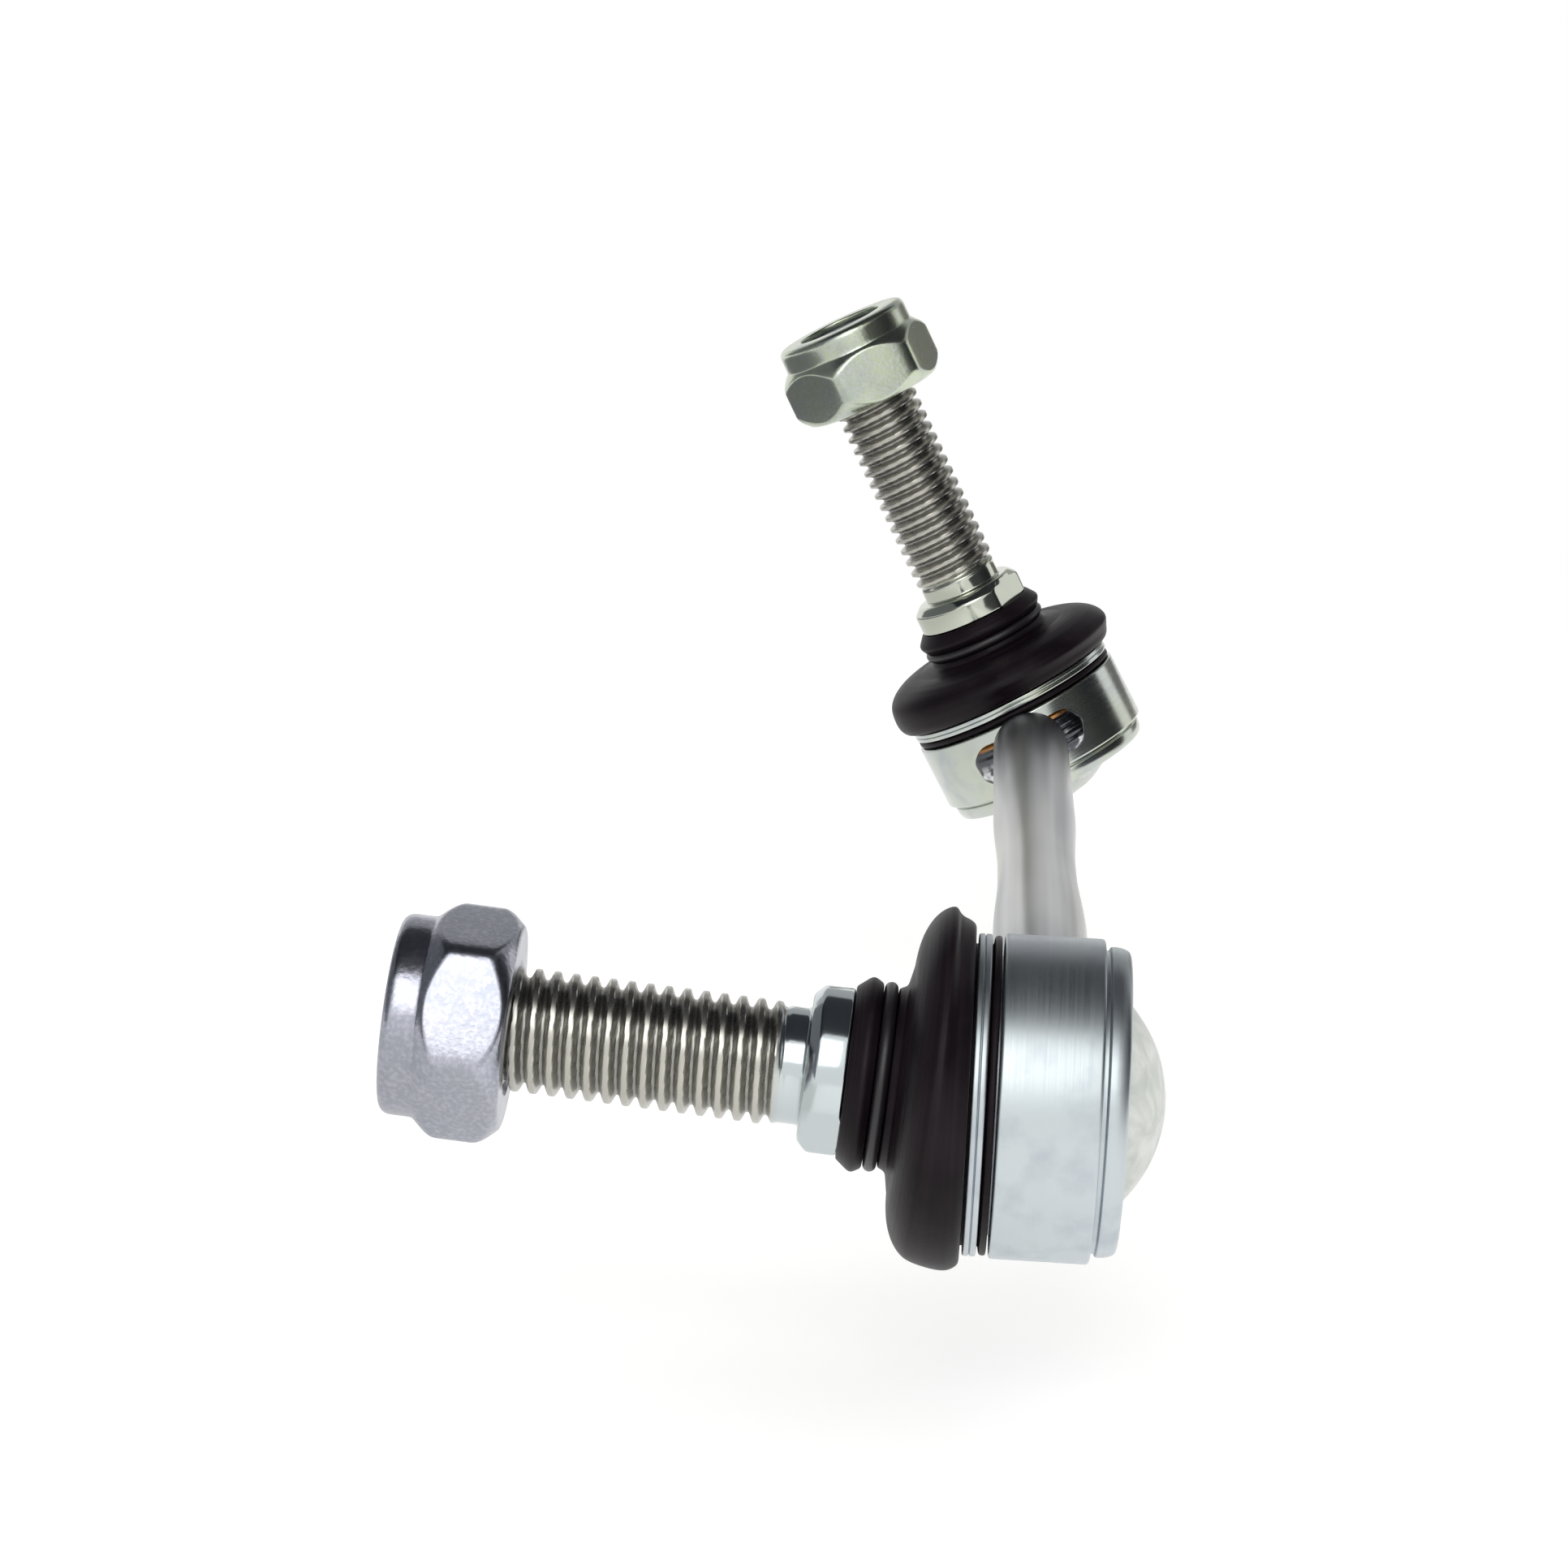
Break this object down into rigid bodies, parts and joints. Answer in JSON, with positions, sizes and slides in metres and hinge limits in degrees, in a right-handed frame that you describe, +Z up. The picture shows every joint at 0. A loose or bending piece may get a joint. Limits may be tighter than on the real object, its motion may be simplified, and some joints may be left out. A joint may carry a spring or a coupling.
{
  "type": "stabilizer link",
  "caption": "Straight steel rod with a booted ball joint welded on at each end; threaded studs with lock nuts tie an anti-roll bar to a suspension strut.",
  "frame": {"origin": "centre of the near stud's shoulder, where a bracket seats against the collar", "axes": "+Y along the rod from the near joint to the far one, -X along the near housing towards its stud, +Z up"},
  "size_m": [0.0667, 0.1986, 0.0659],
  "materials": {
    "drawn_steel": "zinc plated, dull",
    "zinc_steel": "zinc plated, satin",
    "bright_zinc": "zinc plated, bright",
    "black_spring_steel": "black oxide",
    "weld_steel": "heat tinted",
    "rubber": "soft sheen",
    "milky_plastic": "satin",
    "nylon": "matt"
  },
  "bodies": {
    "link": {"rod": "drawn_steel", "near_housing": "zinc_steel", "near_ball_seat": "milky_plastic", "near_weld_upper": "weld_steel", "near_weld_lower": "weld_steel", "far_housing": "zinc_steel", "far_ball_seat": "milky_plastic", "far_weld_upper": "weld_steel", "far_weld_lower": "weld_steel"},
    "near_boot": {"near_boot": "rubber", "near_boot_clip": "bright_zinc"},
    "near_neck_ring": {"near_neck_ring": "black_spring_steel"},
    "near_ball_stud": {"near_ball_stud": "bright_zinc"},
    "near_nut_insert": {"near_nut_insert": "nylon"},
    "near_lock_nut": {"near_lock_nut": "zinc_steel"},
    "far_boot": {"far_boot": "rubber", "far_boot_clip": "bright_zinc"},
    "far_neck_ring": {"far_neck_ring": "black_spring_steel"},
    "far_ball_stud": {"far_ball_stud": "bright_zinc"},
    "far_nut_insert": {"far_nut_insert": "nylon"},
    "far_lock_nut": {"far_lock_nut": "zinc_steel"}
  },
  "joints": [
    {"name": "near_swing_heading", "type": "hinge", "parent": "link", "child": "near_boot", "pos_m": [0.01954, 0.00027, -0.00151], "axis": [-1, 0, 0], "continuous": true},
    {"name": "near_swing", "type": "hinge", "parent": "near_boot", "child": "near_neck_ring", "pos_m": [0.01954, 0.00027, -0.00151], "axis": [0, 0.9848, 0.1736], "range_deg": [-24.5, 15.5], "deforming": ["near_boot"]},
    {"name": "near_stud_spin", "type": "hinge", "parent": "near_neck_ring", "child": "near_ball_stud", "pos_m": [0.01954, 0.00027, -0.00151], "axis": [-0.9969, -0.0136, 0.0773], "continuous": true},
    {"name": "near_nut_travel", "type": "slide", "parent": "near_ball_stud", "child": "near_nut_insert", "axis": [-0.9969, -0.0136, 0.0773], "range_m": [-0.0203, 0.0053]},
    {"name": "near_nut_turn", "type": "hinge", "parent": "near_nut_insert", "child": "near_lock_nut", "pos_m": [-0.02353, -0.00032, 0.00182], "axis": [-0.9969, -0.0136, 0.0773], "range_deg": [-4860, 1260]},
    {"name": "far_swing_heading", "type": "hinge", "parent": "link", "child": "far_boot", "pos_m": [0.01954, 0.17027, -0.00151], "axis": [-0.5, 0, 0.866], "continuous": true},
    {"name": "far_swing", "type": "hinge", "parent": "far_boot", "child": "far_neck_ring", "pos_m": [0.01954, 0.17027, -0.00151], "axis": [0.6916, 0.6018, 0.3993], "range_deg": [-23.4, 16.6], "deforming": ["far_boot"]},
    {"name": "far_stud_spin", "type": "hinge", "parent": "far_neck_ring", "child": "far_ball_stud", "pos_m": [0.01954, 0.17027, -0.00151], "axis": [-0.4682, -0.0474, 0.8823], "continuous": true},
    {"name": "far_nut_travel", "type": "slide", "parent": "far_ball_stud", "child": "far_nut_insert", "axis": [-0.4682, -0.0474, 0.8823], "range_m": [-0.0223, 0.0033]},
    {"name": "far_nut_turn", "type": "hinge", "parent": "far_nut_insert", "child": "far_lock_nut", "pos_m": [-0.00162, 0.16813, 0.03837], "axis": [-0.4682, -0.0474, 0.8823], "range_deg": [-5340, 780]}
  ],
  "couplings": [
    {"joint": "near_nut_travel", "follows": "near_nut_turn", "m_per_rad": 0.00023873},
    {"joint": "far_nut_travel", "follows": "far_nut_turn", "m_per_rad": 0.00023873}
  ]
}
